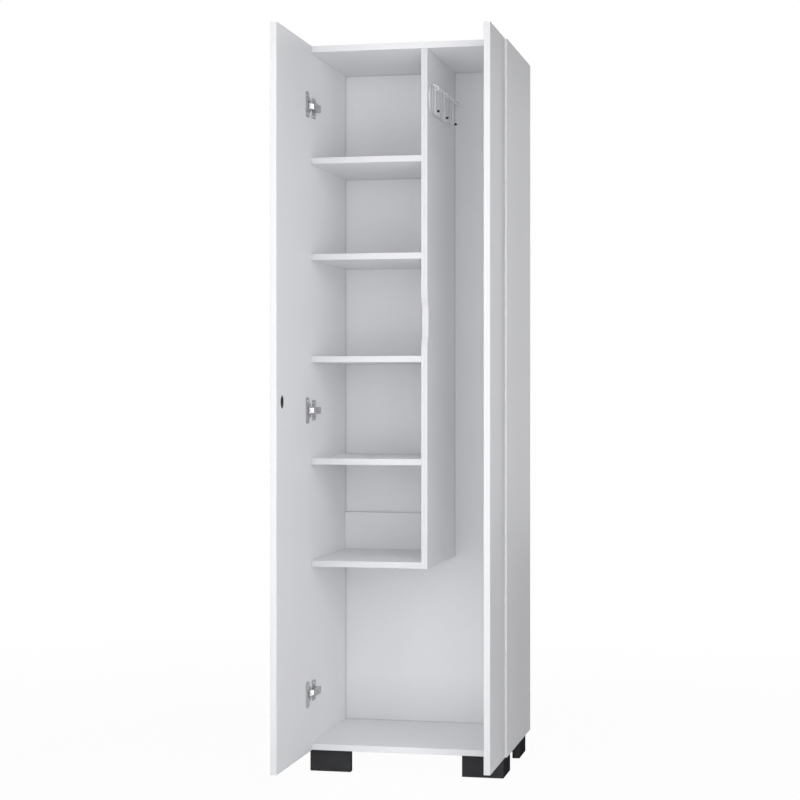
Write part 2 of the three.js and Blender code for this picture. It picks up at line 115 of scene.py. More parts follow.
# Fine grain: a pearly surface texture with slow drifts of tone
def make_grain_group():
    group, source, target = new_group(
        "surface_grain",
        [("Vector", "NodeSocketVector"), ("Grain Scale", "NodeSocketFloat"),
         ("Drift Scale", "NodeSocketFloat")],
        [("Grain", "NodeSocketFloat"), ("Drift", "NodeSocketFloat")])
    links = group.links
    fine = add_node(group, "ShaderNodeTexNoise", in_Detail=3.0, in_Roughness=0.6)
    slow = add_node(group, "ShaderNodeTexNoise", in_Detail=4.0, in_Roughness=0.55)
    for noise, scale in ((fine, "Grain Scale"), (slow, "Drift Scale")):
        links.new(source.outputs["Vector"], noise.inputs["Vector"])
        links.new(source.outputs[scale], noise.inputs["Scale"])
    links.new(fine.outputs[0], target.inputs["Grain"])
    links.new(slow.outputs[0], target.inputs["Drift"])
    return group


# A soft line on the surface, strongest where one coordinate passes a place
def make_line_group():
    group, source, target = new_group(
        "soft_line",
        [("Coordinate", "NodeSocketFloat"), ("Place", "NodeSocketFloat"),
         ("Half Width", "NodeSocketFloat")],
        [("Mask", "NodeSocketFloat")])
    away = math_node(group, "SUBTRACT", source.outputs["Coordinate"], source.outputs["Place"])
    distance = math_node(group, "ABSOLUTE", away)
    share = math_node(group, "DIVIDE", distance, source.outputs["Half Width"])
    mask = math_node(group, "SUBTRACT", 1.0, share, clamp=True)
    group.links.new(mask, target.inputs["Mask"])
    return group


# Pressed wood chips, as on an uncovered edge of chipboard
CHIP_SCALE = 420.0
CHIP_NOISE_SCALE = 900.0
CHIP_NOISE_SHARE = 0.3
CHIP_TONES = ((0.30, 0.19, 0.10, 1.0), (0.62, 0.46, 0.29, 1.0))


def make_chip_group():
    group, source, target = new_group(
        "wood_chips",
        [("Vector", "NodeSocketVector"), ("Chip Scale", "NodeSocketFloat")],
        [("Color", "NodeSocketColor")])
    links = group.links
    cells = add_node(group, "ShaderNodeTexVoronoi", feature="F1")
    noise = add_node(group, "ShaderNodeTexNoise", in_Scale=CHIP_NOISE_SCALE, in_Detail=3.0)
    for node in (cells, noise):
        links.new(source.outputs["Vector"], node.inputs["Vector"])
    links.new(source.outputs["Chip Scale"], cells.inputs["Scale"])
    split = add_node(group, "ShaderNodeSeparateColor")
    links.new(cells.outputs["Color"], split.inputs[0])
    speckle = math_node(group, "MULTIPLY", noise.outputs[0], CHIP_NOISE_SHARE)
    blend = math_node(group, "MULTIPLY_ADD", split.outputs[0], 1.0 - CHIP_NOISE_SHARE, speckle)
    ramp = add_node(group, "ShaderNodeValToRGB")
    for stop, tone in zip(ramp.color_ramp.elements, CHIP_TONES):
        stop.color = tone
    links.new(blend, ramp.inputs[0])
    links.new(ramp.outputs["Color"], target.inputs["Color"])
    return group


GRAIN = make_grain_group()
LINE = make_line_group()
CHIPS = make_chip_group()


# Material helpers
def new_material(name, metallic=0.0, specular=0.5):
    material = bpy.data.materials.new(name)
    material.use_nodes = True
    tree = material.node_tree
    shader = tree.nodes["Principled BSDF"]
    shader.inputs["Metallic"].default_value = metallic
    shader.inputs["Specular IOR Level"].default_value = specular
    return material, tree, shader, add_node(tree, "ShaderNodeTexCoord").outputs["Object"]


def add_grain(tree, vector, grain_scale, drift_scale):
    grain = add_node(tree, "ShaderNodeGroup", node_tree=GRAIN, in_Grain_Scale=grain_scale,
                     in_Drift_Scale=drift_scale)
    tree.links.new(vector, grain.inputs["Vector"])
    return grain.outputs["Grain"], grain.outputs["Drift"]


# Mixes two colours, each a socket or a value
def tint(tree, factor, first, second):
    mix = add_node(tree, "ShaderNodeMix", data_type="RGBA")
    for socket, value in ((mix.inputs[0], factor), (mix.inputs[6], first), (mix.inputs[7], second)):
        if isinstance(value, tuple):
            socket.default_value = value
        else:
            tree.links.new(value, socket)
    return mix.outputs[2]


def add_bump(tree, shader, height, strength, distance):
    bump = add_node(tree, "ShaderNodeBump", in_Strength=strength, in_Distance=distance)
    tree.links.new(height, bump.inputs["Height"])
    tree.links.new(bump.outputs["Normal"], shader.inputs["Normal"])


def span(tree, value, low, high):
    node = add_node(tree, "ShaderNodeMapRange", in_To_Min=low, in_To_Max=high)
    tree.links.new(value, node.inputs["Value"])
    return node.outputs[0]


# Shades a colour in a soft strip round one place
def shade_line(tree, color, coordinate, place, half_width, depth, shade=BLACK):
    line = add_node(tree, "ShaderNodeGroup", node_tree=LINE, in_Place=place, in_Half_Width=half_width)
    tree.links.new(coordinate, line.inputs["Coordinate"])
    return tint(tree, math_node(tree, "MULTIPLY", line.outputs["Mask"], depth), color, shade)


# 1 where a coordinate lies between two faces, and 0 on the faces themselves
def within(tree, value, low, high):
    away = math_node(tree, "ABSOLUTE", math_node(tree, "SUBTRACT", value, (low + high) / 2))
    return math_node(tree, "LESS_THAN", away, (high - low) / 2 - ON_FACE)


# White coated board
# Its edge bands have fine joints, and its front band, up to band_end, is darkened by painted shade
# for the strong light on the front edges. On the divider, whose band follows a notch, band_sides
# keeps that painted shade off the two faces. A painted shade darkens the crease at the back panel,
# and behind raw_from the board is bare.
BAND = 0.0009
BAND_JOINT = 0.0002
BAND_JOINT_TONE = (0.55, 0.56, 0.57, 1.0)
BAND_JOINT_SHADE = 0.35
# The painted shade in the crease at the back panel: its reach and its depth
PAINTED_CREASE_REACH = 0.022
PAINTED_CREASE_SHADE = 0.2
BOARD_SPECULAR = 0.25
BOARD_GRAIN = (1500.0, 2.2)
BOARD_TONES = ((0.870, 0.873, 0.887, 1.0), (0.887, 0.889, 0.901, 1.0))
BOARD_ROUGHNESS = (0.46, 0.6)
BOARD_BUMP = (0.12, 0.0004)
CHIP_ROUGHER = 0.4


def coated_board(name, band_lines, band_end, band_painted_shade, band_sides=None, crease=None, raw_from=None):
    material, tree, shader, vector = new_material(name, specular=BOARD_SPECULAR)
    grain, drift = add_grain(tree, vector, *BOARD_GRAIN)
    color = tint(tree, drift, *BOARD_TONES)
    split = add_node(tree, "ShaderNodeSeparateXYZ")
    tree.links.new(vector, split.inputs[0])
    across, depth, height = split.outputs
    for axis, place in band_lines:
        color = shade_line(tree, color, split.outputs[axis], place, BAND_JOINT, BAND_JOINT_SHADE,
                           BAND_JOINT_TONE)
    # Painted shade in the crease at the back panel, on the inner faces only
    if crease is not None:
        inside = math_node(tree, "MULTIPLY", within(tree, across, side_low[0], -side_low[0]),
                           within(tree, height, side_low[2], side_high[2]))
        shaded = shade_line(tree, color, depth, crease, PAINTED_CREASE_REACH, PAINTED_CREASE_SHADE)
        color = tint(tree, inside, color, shaded)
    # Painted shade on the front band, where the lamps fall strongest on the front edges
    band = math_node(tree, "LESS_THAN", depth, band_end)
    if band_sides is not None:
        band = math_node(tree, "MULTIPLY", band, within(tree, across, *band_sides))
    color = tint(tree, math_node(tree, "MULTIPLY", band, band_painted_shade), color, BLACK)
    roughness = span(tree, grain, *BOARD_ROUGHNESS)
    if raw_from is not None:
        chips = add_node(tree, "ShaderNodeGroup", node_tree=CHIPS, in_Chip_Scale=CHIP_SCALE)
        tree.links.new(vector, chips.inputs["Vector"])
        bare = math_node(tree, "GREATER_THAN", depth, raw_from)
        color = tint(tree, bare, color, chips.outputs["Color"])
        roughness = math_node(tree, "MULTIPLY_ADD", bare, CHIP_ROUGHER, roughness, clamp=True)
    tree.links.new(color, shader.inputs["Base Color"])
    tree.links.new(roughness, shader.inputs["Roughness"])
    add_bump(tree, shader, grain, *BOARD_BUMP)
    return material


# Hardboard: lacquered white in front, with a painted shade towards the floor board, and bare brown
# fibre behind
LACQUER = 0.0004
# The painted shade towards the floor board: its reach and its depth
PAINTED_BACK_SHADE_REACH = 0.12
PAINTED_BACK_SHADE = 0.13
BACK_SPECULAR = 0.35
BACK_GRAIN = (1100.0, 2.6)
LACQUER_TONES = ((0.858, 0.861, 0.875, 1.0), (0.875, 0.877, 0.889, 1.0))
FIBRE_TONES = ((0.16, 0.085, 0.04, 1.0), (0.33, 0.20, 0.105, 1.0))
BACK_ROUGHNESS = (0.42, 0.55)
FIBRE_ROUGHER = 0.35
BACK_BUMP = (0.2, 0.0005)


def hardboard(name, bare_from, floor_top):
    material, tree, shader, vector = new_material(name, specular=BACK_SPECULAR)
    grain, drift = add_grain(tree, vector, *BACK_GRAIN)
    split = add_node(tree, "ShaderNodeSeparateXYZ")
    tree.links.new(vector, split.inputs[0])
    # Painted shade on the lacquer, darkest at the floor board and fading upwards
    front = shade_line(tree, tint(tree, drift, *LACQUER_TONES), split.outputs[Z], floor_top,
                       PAINTED_BACK_SHADE_REACH, PAINTED_BACK_SHADE)
    bare = math_node(tree, "GREATER_THAN", split.outputs[Y], bare_from)
    color = tint(tree, bare, front, tint(tree, grain, *FIBRE_TONES))
    roughness = math_node(tree, "MULTIPLY_ADD", bare, FIBRE_ROUGHER, span(tree, grain, *BACK_ROUGHNESS))
    tree.links.new(color, shader.inputs["Base Color"])
    tree.links.new(roughness, shader.inputs["Roughness"])
    add_bump(tree, shader, grain, *BACK_BUMP)
    return material


# A plain finish: the tone drifts between two, and the grain roughens and bumps the surface
def plain_finish(name, tones, scales, roughness, bump, metallic=0.0, specular=0.5):
    material, tree, shader, vector = new_material(name, metallic, specular)
    grain, drift = add_grain(tree, vector, *scales)
    tree.links.new(tint(tree, drift, *tones), shader.inputs["Base Color"])
    tree.links.new(span(tree, grain, *roughness), shader.inputs["Roughness"])
    add_bump(tree, shader, grain, *bump)
    return material


# Moulded black plastic with a fine spark grain
def black_plastic(name, tones, specular):
    return plain_finish(name, tones, scales=(2400.0, 30.0), roughness=(0.72, 0.88),
                        bump=(0.25, 0.0003), specular=specular)


# Nickel-plated pressed steel
def plated_steel(name, tones):
    return plain_finish(name, tones, scales=(1800.0, 90.0), roughness=(0.22, 0.40),
                        bump=(0.08, 0.0002), metallic=1.0)


# White plastic coating on wire
def coated_wire(name, tones):
    return plain_finish(name, tones, scales=(700.0, 40.0), roughness=(0.25, 0.42), bump=(0.15, 0.0004))


# The finishes of this cupboard
NOTCH_DEPTH = 0.012
FRONT_LINE = [(Y, FRONT + BAND)]


def door_lines(low, high):
    return [(Y, low[1] + BAND), (Y, high[1] - BAND), (Z, low[2] + BAND), (Z, high[2] - BAND)]


# band_painted_shade: how much painted shade darkens each board's front band
carcass_board = coated_board("coated_board", FRONT_LINE, FRONT + BAND, band_painted_shade=0.08,
                             crease=BACK_FACE, raw_from=REAR - ON_FACE)
inner_board = coated_board("coated_shelf_board", FRONT_LINE, FRONT + BAND, band_painted_shade=0.22,
                           crease=BACK_FACE)
divider_board = coated_board("coated_divider_board", FRONT_LINE, FRONT + NOTCH_DEPTH + BAND,
                             band_painted_shade=0.22, band_sides=(divider_low[0], divider_high[0]),
                             crease=BACK_FACE)
left_door_board = coated_board("left_door_board", door_lines(left_low, left_high),
                               left_low[1] + BAND, band_painted_shade=0.13)
right_door_board = coated_board("right_door_board", door_lines(right_low, right_high),
                                right_low[1] + BAND, band_painted_shade=0.16)
back_board = hardboard("lacquered_hardboard", BACK_FACE + LACQUER, FLOOR_TOP)
plastic = black_plastic("black_plastic", ((0.030, 0.030, 0.032, 1.0), (0.042, 0.043, 0.046, 1.0)),
                        specular=0.12)
foot_plastic = black_plastic(
    "black_foot_plastic", ((0.040, 0.040, 0.042, 1.0), (0.052, 0.053, 0.056, 1.0)), specular=0.0)
steel = plated_steel("nickel_plated_steel", ((0.46, 0.46, 0.47, 1.0), (0.56, 0.56, 0.57, 1.0)))
# A brighter copy of the plated steel for the outer links: a painted highlight where the lamps glint on
# their straps
painted_highlight_steel = plated_steel("painted_highlight_plated_steel", ((0.93, 0.93, 0.94, 1.0), (0.97, 0.97, 0.98, 1.0)))
wire_coat = coated_wire("white_coated_wire", ((0.76, 0.775, 0.785, 1.0), (0.82, 0.828, 0.835, 1.0)))

BOARD_FINISHES = {
    "left_side": carcass_board, "right_side": carcass_board, "top_board": carcass_board,
    "bottom_board": carcass_board, "left_door": left_door_board, "right_door": right_door_board,
    "divider": divider_board, "back_panel": back_board}


def finish_of(name):
    if name.endswith("foot"):
        return foot_plastic
    if name.startswith("hook_tip") or name == "finger_pull":
        return plastic
    if name.startswith("rack_"):
        return wire_coat
    if "_hinge_" in name:
        return steel
    return BOARD_FINISHES.get(name, inner_board)


def use_material(obj, material):
    obj.data.materials.clear()
    obj.data.materials.append(material)


for name in nodes:
    use_material(nodes[name], finish_of(name))


# Modelling helpers. Every piece is drawn in metres and ends at the origin, unturned and unscaled.
SOFTEN_ANGLE = math.radians(35)
SMOOTH_ANGLE = math.radians(38)
MERGE_DISTANCE = 0.00001
ROD_SIDES = 32


def deselect_all():
    bpy.ops.object.select_all(action="DESELECT")


def only(*objs):
    deselect_all()
    for obj in objs:
        obj.select_set(True)
    bpy.context.view_layer.objects.active = objs[0]


def settle(name):
    obj = bpy.context.object
    obj.name = name
    obj.data.name = name
    bpy.ops.object.transform_apply(location=True, rotation=True, scale=True)
    return obj


def add_block(name, low, high):
    deselect_all()
    low, high = Vector(low), Vector(high)
    bpy.ops.mesh.primitive_cube_add(size=1.0, location=(low + high) / 2, scale=high - low)
    return settle(name)


def add_rod(name, radius, start, end, sides=ROD_SIDES):
    deselect_all()
    start, end = Vector(start), Vector(end)
    turn = (end - start).to_track_quat("Z", "Y").to_euler()
    bpy.ops.mesh.primitive_cylinder_add(vertices=sides, radius=radius, depth=(end - start).length,
                                        location=(start + end) / 2, rotation=turn)
    return settle(name)


def copy_of(obj, name):
    copied = bpy.data.objects.new(name, obj.data.copy())
    bpy.context.collection.objects.link(copied)
    return copied


def edit(obj, kind):
    only(obj)
    bpy.ops.object.mode_set(mode="EDIT")
    bpy.ops.mesh.select_mode(type=kind)
    bpy.ops.mesh.select_all(action="DESELECT")
    return bmesh.from_edit_mesh(obj.data)


def leave_edit():
    bpy.ops.object.mode_set(mode="OBJECT")


def pick_all(obj):
    edit(obj, "VERT")
    bpy.ops.mesh.select_all(action="SELECT")


def pick_faces(obj, test):
    mesh = edit(obj, "FACE")
    for face in mesh.faces:
        face.select_set(test(face.normal))
    bmesh.update_edit_mesh(obj.data)


def pick_edges(obj, test):
    mesh = edit(obj, "EDGE")
    for edge in mesh.edges:
        first, second = (vert.co for vert in edge.verts)
        edge.select_set(test((first + second) / 2, (second - first).normalized()))
    bmesh.update_edit_mesh(obj.data)


def pick_verts(obj, test):
    mesh = edit(obj, "VERT")
    for vert in mesh.verts:
        vert.select_set(test(vert.co))
    bmesh.update_edit_mesh(obj.data)


# Cuts the mesh across one axis at each place, keeping both halves
def section(obj, axis, places):
    normal = Vector((0.0, 0.0, 0.0))
    normal[axis] = 1.0
    for place in places:
        pick_all(obj)
        bpy.ops.mesh.bisect(plane_co=normal * place, plane_no=normal)
        leave_edit()


def shift_verts(obj, test, offset):
    pick_verts(obj, test)
    bpy.ops.transform.translate(value=offset)
    leave_edit()


def bevel_edges(obj, test, width, segments=4):
    pick_edges(obj, test)
    bpy.ops.mesh.bevel(offset=width, segments=segments, affect="EDGES", clamp_overlap=True)
    leave_edit()


# Insets the faces that the test picks by a wall, and moves what is inside it along X
def hollow(obj, test, wall, depth):
    pick_faces(obj, test)
    bpy.ops.mesh.inset(thickness=wall)
    bpy.ops.mesh.extrude_region_move(TRANSFORM_OT_translate={"value": (depth, 0.0, 0.0)})
    leave_edit()


def apply_modifier(obj, kind, **settings):
    only(obj)
    modifier = obj.modifiers.new(kind.lower(), kind)
    for name, value in settings.items():
        setattr(modifier, name, value)
    bpy.ops.object.modifier_apply(modifier=modifier.name)


def soften(obj, width, segments=2):
    apply_modifier(obj, "BEVEL", width=width, segments=segments, limit_method="ANGLE",
                   angle_limit=SOFTEN_ANGLE, use_clamp_overlap=True)


def combine(obj, other, operation):
    apply_modifier(obj, "BOOLEAN", object=other, operation=operation, solver="EXACT")
    bpy.data.objects.remove(other)


def join_all(name, *objs):
    only(*objs)
    bpy.ops.object.join()
    obj = bpy.context.object
    obj.name = name
    obj.data.name = name
    return obj


def smooth(obj, angle=SMOOTH_ANGLE):
    only(obj)
    bpy.ops.object.shade_smooth_by_angle(angle=angle)


def near(value, place):
    return abs(value - place) < ON_FACE


def along_x(middle, along):
    return abs(along.x) > ALIGNED


# A screw's domed head with a cross recess, standing on a face towards +X
DOME_SHARE = 0.55
CROSS_LONG_SHARE = 0.75 * math.sqrt(0.5)
CROSS_SHORT_SHARE = 0.49 * math.sqrt(0.5)
CROSS_FLOOR_SHARE = 0.35
CROSS_TOP_SHARE = 1.5


def add_screw(x, y, z, radius, height):
    foot, rise = Vector((x, y, z)), Vector((height, 0.0, 0.0))
    head = add_rod("screw", radius, foot, foot + rise)
    bevel_edges(head, lambda middle, along: near(middle.x, x + height), height * DOME_SHARE, segments=3)
    long, short = radius * CROSS_LONG_SHARE, radius * CROSS_SHORT_SHARE
    for wide, tall in ((short, long), (long, short)):
        corner = Vector((0.0, wide, tall))
        slot = add_block("slot", foot + rise * CROSS_FLOOR_SHARE - corner,
                         foot + rise * CROSS_TOP_SHARE + corner)
        combine(head, slot, "DIFFERENCE")
    return head


def piece_from(obj, body, slot_name, material, *replaced):
    use_material(obj, material)
    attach(obj, body)
    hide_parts(*replaced)


# Hinges
# They are drawn once about the hinge's own height, with X from the side's inner face and Y from
# the side's front plane, then copied to the six places.
SHEET = 0.0012
PIN_RADIUS = 0.0012
PIN_SIDES = 24
CUP_SIDES = 64
LINK_PLAY = 0.0003
OUTER_PINS = (Vector((0.01156, -0.01029, 0.0)), Vector((-0.00094, -0.01680, 0.0)))
INNER_PINS = (Vector((0.01299, -0.00251, 0.0)), Vector((0.00303, -0.01574, 0.0)))


def hinge_height(side, place):
    low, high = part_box(f"{side}_{place}_hinge_plate")
    return (low[2] + high[2]) / 2


def local_box(piece):
    origin = Vector((INNER_FACE, FRONT, hinge_height("left", "low")))
    low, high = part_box(f"left_low_hinge_{piece}")
    return Vector(low) - origin, Vector(high) - origin


# The cup: drawn steel, covered but for a slot that the arm and links fold into
CUP_RADIUS = 0.0175
CUP_RIM = 0.001
CUP_WALL = 0.001
CUP_FLOOR = 0.0008
CUP_ROUND = 0.0015
EAR_ROUND = 0.009
EAR_WIDTH = 0.028
EAR_SHIFT = 0.006
EAR_SCREW = 0.0225
FLANGE_EASE = 0.0004
WINDOW_HALF = 0.0093
WINDOW_DEPTH = 0.005
FOLD_ROOM = 0.0066
SCREW_RADIUS = 0.0036
SCREW_HEIGHT = 0.0014


def cup_shell(floor, lip, centre):
    shell = add_rod("shell", CUP_RADIUS, (floor, centre, 0.0), (lip, centre, 0.0), CUP_SIDES)
    hollow(shell, lambda normal: normal.x > ROUGHLY_ALIGNED, CUP_WALL, floor + CUP_FLOOR - lip)
    bevel_edges(shell, lambda middle, along: near(middle.x, floor), CUP_ROUND)
    return shell


def cup_flange(low, high, flange, centre, ears):
    plate = add_block("flange", (flange, ears, low.z), (high.x, ears + EAR_WIDTH, high.z))
    bevel_edges(plate, along_x, EAR_ROUND, segments=8)
    rim = add_rod("rim", CUP_RADIUS + CUP_RIM, (flange, centre, 0.0), (high.x, centre, 0.0), CUP_SIDES)
    combine(plate, rim, "UNION")
    folded = OUTER_PINS[1].y - (OUTER_PINS[1] - OUTER_PINS[0]).length - FOLD_ROOM
    slot = add_block("slot", (low.x, folded, -WINDOW_HALF),
                     (high.x + SHEET, high.y + SHEET, WINDOW_HALF))
    combine(plate, slot, "DIFFERENCE")
    return plate


def model_cup():
    low, high = local_box("cup")
    centre = high.y - CUP_RADIUS - CUP_RIM
    flange = high.x - SHEET
    bore = CUP_RADIUS - CUP_WALL
    ears = low.y - EAR_SHIFT
    shell = cup_shell(low.x, flange + SHEET / 2, centre)
    plate = cup_flange(low, high, flange, centre, ears)
    for solid in (shell, plate):
        window = add_block("window", (flange - WINDOW_DEPTH, centre + bore / 2, -WINDOW_HALF),
                           (high.x + SHEET, high.y + SHEET, WINDOW_HALF))
        combine(solid, window, "DIFFERENCE")
    soften(plate, FLANGE_EASE)
    parts = [shell, plate]
    for pin in (OUTER_PINS[1], INNER_PINS[1]):
        reach = Vector((0.0, 0.0, math.sqrt(bore ** 2 - (pin.y - centre) ** 2)))
        parts.append(add_rod("pin", PIN_RADIUS, pin - reach, pin + reach, PIN_SIDES))
    for place in (EAR_SCREW, -EAR_SCREW):
        parts.append(add_screw(high.x, ears + EAR_WIDTH / 2, place, SCREW_RADIUS, SCREW_HEIGHT))
    return join_all("hinge_cup_model", *parts)


# The arm: a pressed channel, its front raised over the links, with a slot and two screws
ARM_NOSE = 0.0093
ARM_NOSE_END = 0.003
ARM_SHOULDER = 0.012
ARM_TAIL = 0.038
ARM_TAIL_RISE = 0.006
ARM_TAIL_ROUND = 0.0057
ARM_FOLD = 0.0018
ARM_EASE = 0.0002
ARM_SLOT = (-0.002, 0.0115)
ARM_SLOT_HALF = 0.0029
SLOT_ROUND_SHARE = 0.98
DEPTH_SCREW = 0.0078
DEPTH_SCREW_RADIUS = 0.0025
FIXING_SCREW = 0.0258
PIN_HEAD = 0.0006


# Rounds the tail of the arm's web, and the folds along the web
def round_arm(solid, web, end, tail_round, fold):
    bevel_edges(solid, lambda middle, along: near(middle.y, end) and near(middle.x, web)
                and abs(along.z) > ALIGNED, tail_round, segments=6)
    bevel_edges(solid, lambda middle, along: near(middle.x, web)
                and abs(along.y) > ROUGHLY_ALIGNED, fold, segments=5)


def model_arm():
    low, high = local_box("arm")
    arm = add_block("arm", low, high)
    section(arm, Y, (ARM_NOSE_END, ARM_SHOULDER, ARM_TAIL))
    shift_verts(arm, lambda co: near(co.x, low.x) and co.y < ARM_NOSE_END + LINK_PLAY,
                (ARM_NOSE - low.x, 0.0, 0.0))
    shift_verts(arm, lambda co: near(co.x, low.x) and near(co.y, high.y), (ARM_TAIL_RISE, 0.0, 0.0))
    round_arm(arm, high.x, high.y, ARM_TAIL_ROUND, ARM_FOLD)
    top, tail = high.x - SHEET, high.y - SHEET
    room = add_block("room", (low.x - SHEET, low.y - SHEET, low.z + SHEET),
                     (top, tail, high.z - SHEET))
    round_arm(room, top, tail, ARM_TAIL_ROUND - SHEET, ARM_FOLD - SHEET)
    combine(arm, room, "DIFFERENCE")
    slot = add_block("slot", (high.x - ARM_TAIL_RISE, ARM_SLOT[0], -ARM_SLOT_HALF),
                     (high.x + SHEET, ARM_SLOT[1], ARM_SLOT_HALF))
    bevel_edges(slot, along_x, ARM_SLOT_HALF * SLOT_ROUND_SHARE, segments=8)
    combine(arm, slot, "DIFFERENCE")
    soften(arm, ARM_EASE)
    parts = [arm]
    head = Vector((0.0, 0.0, high.z + PIN_HEAD))
    for pin in (OUTER_PINS[0], INNER_PINS[0]):
        rivet = add_rod("rivet", PIN_RADIUS, pin - head, pin + head, PIN_SIDES)
        soften(rivet, PIN_HEAD / 2)
        parts.append(rivet)
    parts.append(add_screw(top - LINK_PLAY, DEPTH_SCREW, 0.0, DEPTH_SCREW_RADIUS, SHEET))
    parts.append(add_screw(high.x, FIXING_SCREW, 0.0, SCREW_RADIUS, SCREW_HEIGHT))
    return join_all("hinge_arm_model", *parts)


# The mounting plate: wings wider at their ends, a block that the arm clips over, and two screws
WING_NECK = 0.0135
WING_SHOULDER = 0.0165
WING_WAIST = 0.0035
WING_ROUND = 0.005
WING_EASE = 0.0004
WING_THICKNESS = 0.0022
WING_SCREW = 0.0185
BLOCK_HALF = 0.0068
BLOCK_EASE = 0.0008


def plate_wings(low, high):
    wings = add_block("wings", low, (low.x + WING_THICKNESS, high.y, high.z))
    section(wings, Z, (-WING_SHOULDER, -WING_NECK, WING_NECK, WING_SHOULDER))
    for edge, waist in ((low.y, WING_WAIST), (high.y, -WING_WAIST)):
        shift_verts(wings, lambda co: near(co.y, edge) and abs(co.z) < WING_NECK + LINK_PLAY,
                    (0.0, waist, 0.0))
    bevel_edges(wings, lambda middle, along: along_x(middle, along)
                and abs(middle.z) > high.z - LINK_PLAY, WING_ROUND, segments=6)
    bevel_edges(wings, lambda middle, along: along_x(middle, along)
                and WING_NECK - LINK_PLAY < abs(middle.z) < WING_SHOULDER + LINK_PLAY, WING_WAIST / 2)
    soften(wings, WING_EASE)
    return wings


def model_plate():
    low, high = local_box("plate")
    wings = plate_wings(low, high)
    block = add_block("block", (low.x, low.y, -BLOCK_HALF), (high.x, high.y, BLOCK_HALF))
    soften(block, BLOCK_EASE)
    parts = [wings, block]
    for place in (WING_SCREW, -WING_SCREW):
        parts.append(add_screw(low.x + WING_THICKNESS, (low.y + high.y) / 2, place, SCREW_RADIUS,
                               SCREW_HEIGHT))
    return join_all("hinge_plate_model", *parts)


# Links are drawn along +X from the arm pin, then turned to the line of their pins
def turn_link(obj, pins):
    along = (pins[1] - pins[0]).normalized()
    turn = Matrix(((along.x, -along.y, 0.0, pins[0].x), (along.y, along.x, 0.0, pins[0].y),
                   (0.0, 0.0, 1.0, 0.0), (0.0, 0.0, 0.0, 1.0)))
    obj.data.transform(turn)


# The outer link: a strap with a step, between two cheeks with the eyes of the pins
EYE_RADIUS = 0.002
STRAP_HALF = 0.0060
STRAP_START = -0.0007
STRAP_END = 0.0102
STRAP_BEND = (0.0062, 0.0092)
STRAP_OFFSET = 0.0016
STRAP_JOG = 0.0015
STRAP_SHEET = 0.001
STRAP_TOP = STRAP_OFFSET + STRAP_SHEET
STRAP_EASE = 0.0003
CHEEK_HALF = 0.0017
CHEEK_EASE = 0.0002


def link_strap():
    strap = add_block("strap", (STRAP_START, STRAP_OFFSET, -STRAP_HALF),
                      (STRAP_END, STRAP_TOP, STRAP_HALF))
    section(strap, X, STRAP_BEND)
    shift_verts(strap, lambda co: co.x > STRAP_BEND[1] - LINK_PLAY, (0.0, STRAP_JOG, 0.0))
    bevel_edges(strap, lambda middle, along: abs(along.z) > ALIGNED
                and STRAP_START + LINK_PLAY < middle.x < STRAP_END - LINK_PLAY, STRAP_JOG)
    soften(strap, STRAP_EASE)
    return strap


def link_cheek(length, low_z, high_z):
    cheek = add_block("cheek", (0.0, -CHEEK_HALF, low_z), (length, STRAP_TOP, high_z))
    section(cheek, X, (*STRAP_BEND, STRAP_END))
    shift_verts(cheek, lambda co: near(co.y, STRAP_TOP)
                and STRAP_BEND[1] - LINK_PLAY < co.x < STRAP_END + LINK_PLAY, (0.0, STRAP_JOG, 0.0))
    shift_verts(cheek, lambda co: near(co.y, STRAP_TOP) and near(co.x, length),
                (0.0, CHEEK_HALF - STRAP_TOP, 0.0))
    for place in (0.0, length):
        combine(cheek, add_rod("eye", EYE_RADIUS, (place, 0.0, low_z), (place, 0.0, high_z)), "UNION")
    soften(cheek, CHEEK_EASE)
    return cheek


def model_outer_link():
    length = (OUTER_PINS[1] - OUTER_PINS[0]).length
    inner_z = STRAP_HALF - SHEET
    link = join_all("outer_link_model", link_strap(), link_cheek(length, inner_z, STRAP_HALF),
                    link_cheek(length, -STRAP_HALF, -inner_z))
    turn_link(link, OUTER_PINS)
    return link


# The inner link: a thick bar, rounded about its pins
BAR_HALF = 0.0044
BAR_THICKNESS = 0.003
BAR_EASE = 0.0002


def model_inner_link():
    length = (INNER_PINS[1] - INNER_PINS[0]).length
    half = BAR_THICKNESS / 2
    bar = add_block("bar", (0.0, -half, -BAR_HALF), (length, half, BAR_HALF))
    for place, radius in ((0.0, EYE_RADIUS), (length, half)):
        combine(bar, add_rod("eye", radius, (place, 0.0, -BAR_HALF), (place, 0.0, BAR_HALF)), "UNION")
    soften(bar, BAR_EASE)
    turn_link(bar, INNER_PINS)
    return bar


HINGE_BODIES = {"cup": "{}_door", "arm": "carcass", "plate": "carcass",
                "outer_link": "{}_outer_links", "inner_link": "{}_inner_links"}


# The right side's hinges are the left's turned half a turn about the depth axis
def place_hinges():
    models = {"cup": model_cup(), "arm": model_arm(), "plate": model_plate(),
              "outer_link": model_outer_link(), "inner_link": model_inner_link()}
    for model in models.values():
        smooth(model)
    for side in SIDES:
        turn = Matrix.Rotation(0.0 if side == "left" else math.pi, 4, "Y")
        across = INNER_FACE if side == "left" else -INNER_FACE
        for place in PLACES:
            spot = Matrix.Translation((across, FRONT, hinge_height(side, place)))
            for piece, model in models.items():
                obj = copy_of(model, f"{side}_{place}_{piece}_piece")
                obj.data.transform(spot @ turn)
                # The outer links take the copy of the steel with the painted highlight
                piece_from(obj, HINGE_BODIES[piece].format(side), "hinge_metal",
                           painted_highlight_steel if piece == "outer_link" else steel,
                           f"{side}_{place}_hinge_{piece}")
    for model in models.values():
        bpy.data.objects.remove(model)


# A copy of a solid, with its faces' corners merged
def merged_copy(node, name):
    obj = copy_of(nodes[node], name)
    pick_all(obj)
    bpy.ops.mesh.remove_doubles(threshold=MERGE_DISTANCE)
    leave_edit()
    return obj


